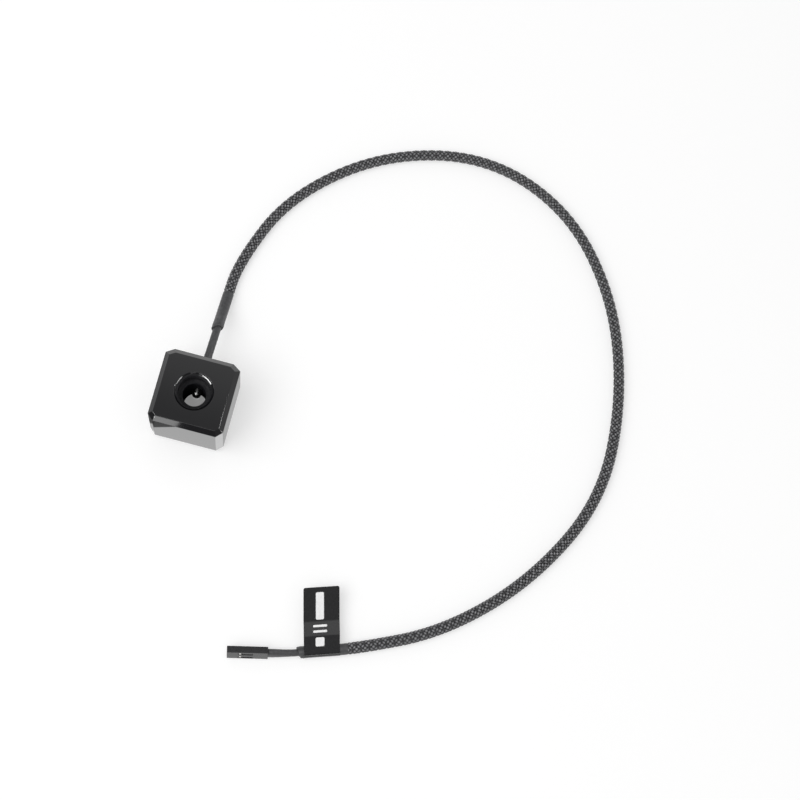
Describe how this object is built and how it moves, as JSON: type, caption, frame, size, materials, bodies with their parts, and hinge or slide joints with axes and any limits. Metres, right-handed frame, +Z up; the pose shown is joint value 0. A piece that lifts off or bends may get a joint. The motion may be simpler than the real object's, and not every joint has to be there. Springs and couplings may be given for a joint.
{
  "type": "coolant temperature sensor",
  "caption": "Square in-line flow block with two threaded coolant ports, a probe across the bore and a braided cable ending in a crimp plug.",
  "frame": {"origin": "middle of the flow block's lower face, on the axis of the flow bore", "axes": "+Z up along the flow bore, +Y out of the rear face that the cable leaves by, +X to the right seen from the front"},
  "size_m": [0.1659, 0.2063, 0.025],
  "materials": {
    "black_acetal": "gloss",
    "stainless_tube": "satin",
    "bead_glass": "gloss",
    "compound_white": "matte",
    "potting_black": "gloss",
    "wire_black": "gloss",
    "shrink_black": "matte",
    "braid_black": "woven",
    "label_film": "gloss",
    "plug_black": "matte",
    "contact_tin": "tinned"
  },
  "bodies": {
    "root": {"flow_block": "black_acetal", "probe_sheath": "stainless_tube", "thermistor": "bead_glass", "thermal_compound": "compound_white", "potting": "potting_black", "wire_a": "wire_black", "wire_b": "wire_black", "entry_shrink": "shrink_black", "entry_collar": "shrink_black", "braided_sleeve": "braid_black", "plug_collar": "shrink_black", "plug_shrink": "shrink_black", "flag_label": "label_film", "plug_housing": "plug_black", "contact_a": "contact_tin", "contact_b": "contact_tin"}
  },
  "joints": []
}
